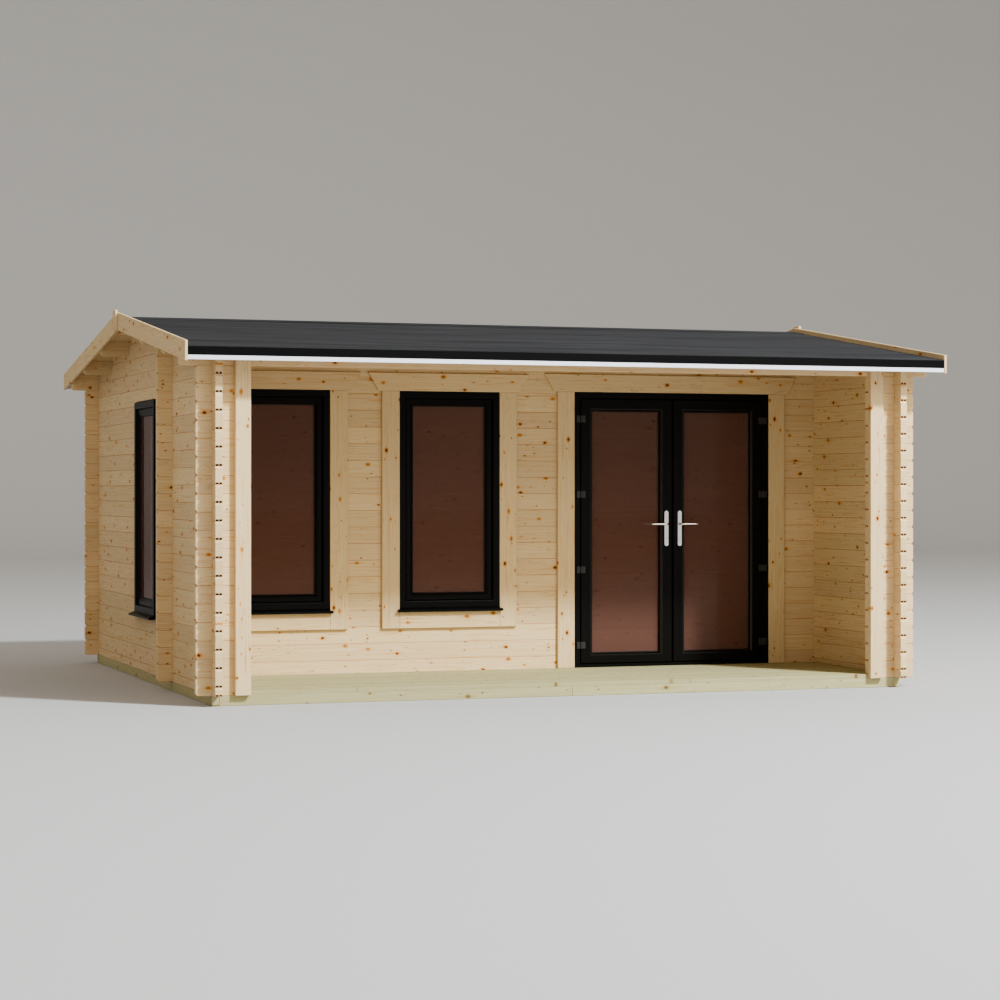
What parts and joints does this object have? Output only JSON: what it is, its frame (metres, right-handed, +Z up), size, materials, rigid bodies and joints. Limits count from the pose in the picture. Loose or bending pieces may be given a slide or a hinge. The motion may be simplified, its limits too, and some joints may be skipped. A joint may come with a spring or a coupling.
{
  "type": "log cabin",
  "caption": "Log cabin with a recessed porch between short return walls, a low pitched felt roof, black framed windows and outward opening French doors.",
  "frame": {"origin": "on the ground, under the middle of the roof's outline, at the bottom of the foundation bearers", "axes": "+X to the right along the front, +Y from the porch to the back, +Z up"},
  "size_m": [5.075, 4.495, 2.5051],
  "materials": {
    "untreated_spruce": "planed, unfinished",
    "treated_timber": "pressure treated, sawn and planed",
    "roofing_felt": "mineral felt, matt",
    "white_fascia": "smooth satin",
    "black_drip_edge": "matt coated",
    "black_window_profile": "satin extruded profile",
    "tinted_glass": "clear double glazing",
    "black_hinge": "satin coated",
    "bright_handle": "polished"
  },
  "bodies": {
    "cabin": {"side_bearers": "treated_timber", "front_bearer": "treated_timber", "back_bearer": "treated_timber", "middle_bearer": "treated_timber", "floor_joists": "treated_timber", "porch_deck": "treated_timber", "interior_floor": "untreated_spruce", "left_wall": "untreated_spruce", "right_wall": "untreated_spruce", "back_wall": "untreated_spruce", "front_wall_left": "untreated_spruce", "front_wall_right": "untreated_spruce", "front_wall_top": "untreated_spruce", "left_return_wall": "untreated_spruce", "right_return_wall": "untreated_spruce", "front_eaves_plate": "untreated_spruce", "back_eaves_plate": "untreated_spruce", "purlins": "untreated_spruce", "front_roof_boards": "untreated_spruce", "back_roof_boards": "untreated_spruce", "roof_felt": "roofing_felt", "left_bargeboards": "untreated_spruce", "right_bargeboards": "untreated_spruce", "apex_blocks": "untreated_spruce", "eaves_fascias": "white_fascia", "drip_edges": "black_drip_edge", "left_post": "untreated_spruce", "right_post": "untreated_spruce", "front_left_window": "black_window_profile", "front_middle_window": "black_window_profile", "side_window": "black_window_profile", "window_glass": "tinted_glass", "window_trims": "untreated_spruce", "door_trims": "untreated_spruce", "door_frame": "black_window_profile", "frame_hinges": "black_hinge"},
    "left_leaf": {"left_door_leaf": "black_window_profile", "left_door_glass": "tinted_glass", "left_leaf_hinges": "black_hinge", "left_handle_plates": "bright_handle"},
    "right_leaf": {"right_door_leaf": "black_window_profile", "right_door_glass": "tinted_glass", "right_leaf_hinges": "black_hinge", "right_handle_plates": "bright_handle"},
    "left_lever_set": {"left_lever": "bright_handle"},
    "right_lever_set": {"right_lever": "bright_handle"}
  },
  "joints": [
    {"name": "left_door_swing", "type": "hinge", "parent": "cabin", "child": "left_leaf", "pos_m": [0.502, -0.8408, 1], "axis": [0, 0, -1], "range_deg": [0, 100]},
    {"name": "right_door_swing", "type": "hinge", "parent": "cabin", "child": "right_leaf", "pos_m": [1.856, -0.8408, 1], "axis": [0, 0, 1], "range_deg": [0, 100]},
    {"name": "left_lever_turn", "type": "hinge", "parent": "left_leaf", "child": "left_lever_set", "pos_m": [1.1295, -0.8025, 1.062], "axis": [0, -1, 0], "range_deg": [0, 40], "stiffness_Nm_per_rad": 1.2, "springref_deg": -20.05},
    {"name": "right_lever_turn", "type": "hinge", "parent": "right_leaf", "child": "right_lever_set", "pos_m": [1.2285, -0.8025, 1.062], "axis": [0, 1, 0], "range_deg": [0, 40], "stiffness_Nm_per_rad": 1.2, "springref_deg": -20.05}
  ]
}
